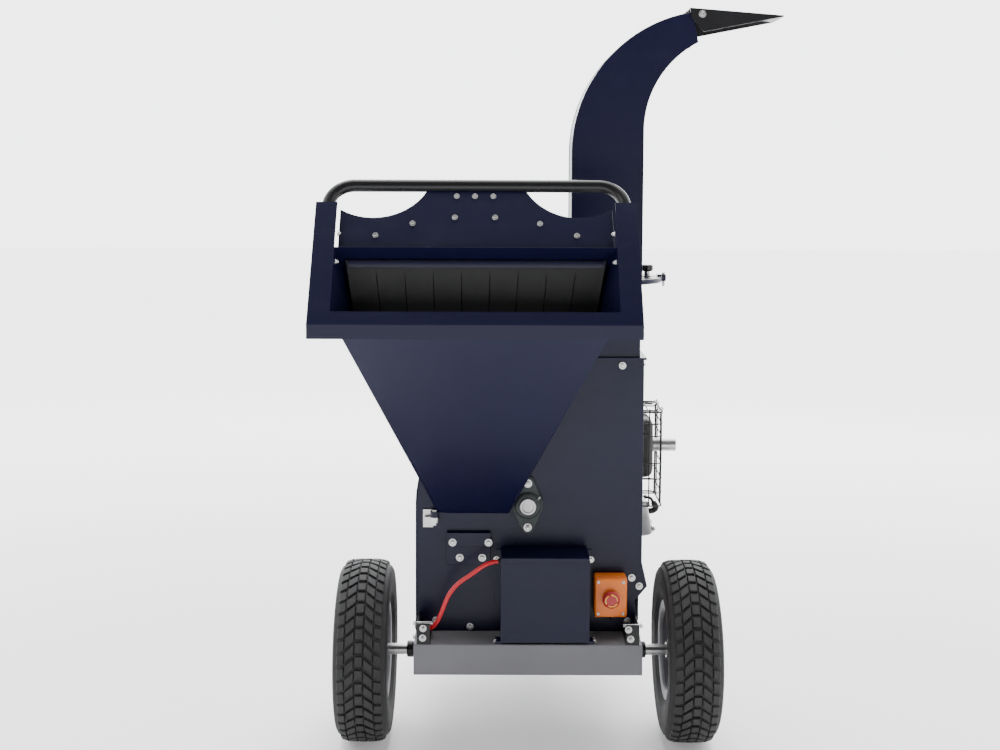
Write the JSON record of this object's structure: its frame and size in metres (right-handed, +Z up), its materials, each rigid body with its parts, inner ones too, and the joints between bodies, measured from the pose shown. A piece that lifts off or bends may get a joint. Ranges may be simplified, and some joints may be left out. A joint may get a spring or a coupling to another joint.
{
  "type": "wood chipper",
  "caption": "Towable petrol disc wood chipper: folded feed hopper, swivelling curved discharge chute with tilting deflector, belt-driven rotor and two turf wheels.",
  "frame": {"origin": "centre of the bounding box's footprint, on the ground the wheels and the prop stand rest on", "axes": "+Z up; +Y from the feed hopper towards the engine and tow bar; +X to the right seen from the feeding side, the way the chute blows"},
  "size_m": [0.9736, 1.511, 1.6492],
  "materials": {
    "navy_paint": "gloss powder coat",
    "grey_paint": "satin powder coat",
    "black_paint": "semi-gloss powder coat",
    "rubber": "matte",
    "tyre_rubber": "matte",
    "zinc_steel": "bright zinc plate",
    "ground_steel": "ground",
    "cast_iron": "painted casting",
    "cast_aluminium": "as cast",
    "red_plastic": "gloss",
    "orange_plastic": "gloss",
    "black_plastic": "moulded texture"
  },
  "bodies": {
    "chassis": {"air_cleaner": "black_plastic", "axle": "zinc_steel", "axle_sleeve": "black_paint", "battery": "black_plastic", "battery_box": "navy_paint", "bed_knife": "ground_steel", "bed_knife_holder": "navy_paint", "belt_guard": "black_paint", "carburettor": "cast_aluminium", "cylinder_head": "cast_aluminium", "deck": "grey_paint", "drive_belts": "rubber", "engine_block": "cast_aluminium", "estop_box": "orange_plastic", "exhaust_outlet": "zinc_steel", "fan_shroud": "black_plastic", "foot_bracket_left": "black_paint", "foot_bracket_right": "black_paint", "front_bearing": "cast_iron", "fuel_tank": "black_paint", "hinge_lower": "zinc_steel", "hinge_upper": "zinc_steel", "housing_back_plate": "navy_paint", "housing_front_plate": "navy_paint", "housing_rim": "navy_paint", "muffler": "black_paint", "muffler_guard": "black_paint", "rear_bearing": "cast_iron", "recoil_cover": "black_paint", "stand_clamp": "black_paint", "starter_cable": "red_plastic", "starter_motor": "black_paint", "switch_box": "black_plastic", "tow_bar": "black_paint", "tower_neck": "navy_paint"},
    "wheel_left": {"tyre_left": "tyre_rubber", "rim_left": "grey_paint"},
    "wheel_right": {"tyre_right": "tyre_rubber", "rim_right": "grey_paint"},
    "rotor": {"rotor_disc": "ground_steel", "rotor_shaft": "ground_steel", "knife_1": "zinc_steel", "knife_2": "zinc_steel", "rotor_pulley": "cast_iron"},
    "crank": {"crankshaft": "ground_steel", "engine_pulley": "cast_iron"},
    "hopper": {"hopper": "navy_paint", "hopper_back_panel": "navy_paint", "push_handle": "black_paint", "feed_curtain": "rubber"},
    "chute": {"chute": "navy_paint"},
    "deflector": {"deflector": "black_paint"},
    "swivel_knob": {"swivel_knob": "black_plastic"},
    "stand": {"prop_stand": "zinc_steel"},
    "estop": {"estop_button": "red_plastic"},
    "key": {"ignition_key": "zinc_steel"},
    "throttle": {"throttle_lever": "zinc_steel"},
    "recoil": {"recoil_grip": "black_plastic"},
    "fuel_cap": {"fuel_cap": "black_plastic"}
  },
  "joints": [
    {"name": "wheel_left_roll", "type": "hinge", "parent": "chassis", "child": "wheel_left", "pos_m": [-0.42732, -0.2045, 0.203], "axis": [1, 0, 0], "continuous": true},
    {"name": "wheel_right_roll", "type": "hinge", "parent": "chassis", "child": "wheel_right", "pos_m": [0.30468, -0.2045, 0.203], "axis": [1, 0, 0], "continuous": true},
    {"name": "rotor_spin", "type": "hinge", "parent": "chassis", "child": "rotor", "pos_m": [-0.06132, -0.2045, 0.556], "axis": [0, 1, 0], "continuous": true},
    {"name": "crank_spin", "type": "hinge", "parent": "chassis", "child": "crank", "pos_m": [-0.02132, -0.2045, 0.399], "axis": [0, 1, 0], "continuous": true},
    {"name": "hopper_swing", "type": "hinge", "parent": "chassis", "child": "hopper", "pos_m": [-0.26832, -0.281, 0.54], "axis": [0, 0, -1], "range_deg": [0, 80]},
    {"name": "chute_swivel", "type": "hinge", "parent": "chassis", "child": "chute", "pos_m": [0.10918, -0.2045, 1.0563], "axis": [0, 0, 1], "range_deg": [-160, 160]},
    {"name": "deflector_tilt", "type": "hinge", "parent": "chute", "child": "deflector", "pos_m": [0.31082, -0.2045, 1.63573], "axis": [0, 1, 0], "range_deg": [-4, 55]},
    {"name": "swivel_knob_turn", "type": "hinge", "parent": "chute", "child": "swivel_knob", "pos_m": [0.20468, -0.2045, 1.0616], "axis": [0, 0, 1], "range_deg": [0, 360]},
    {"name": "prop_stand_slide", "type": "slide", "parent": "chassis", "child": "stand", "axis": [0, 0, 1], "range_m": [0, 0.18]},
    {"name": "estop_press", "type": "slide", "parent": "chassis", "child": "estop", "axis": [0, 1, 0], "range_m": [0, 0.004], "stiffness_N_per_m": 1500, "springref_m": -0.002},
    {"name": "key_turn", "type": "hinge", "parent": "chassis", "child": "key", "pos_m": [-0.18132, 0.1215, 0.56], "axis": [-1, 0, 0], "range_deg": [0, 60]},
    {"name": "throttle_swing", "type": "hinge", "parent": "chassis", "child": "throttle", "pos_m": [-0.03132, -0.0225, 0.462], "axis": [0, 1, 0], "range_deg": [-25, 25]},
    {"name": "recoil_pull", "type": "slide", "parent": "chassis", "child": "recoil", "axis": [-0.8, 0, 0.6], "range_m": [0, 0.55], "stiffness_N_per_m": 20, "springref_m": -0.25},
    {"name": "fuel_cap_turn", "type": "hinge", "parent": "chassis", "child": "fuel_cap", "pos_m": [-0.11132, 0.0955, 0.716], "axis": [0, 0, 1], "range_deg": [0, 90]}
  ],
  "couplings": [
    {"joint": "crank_spin", "follows": "rotor_spin", "ratio": 1.5}
  ]
}
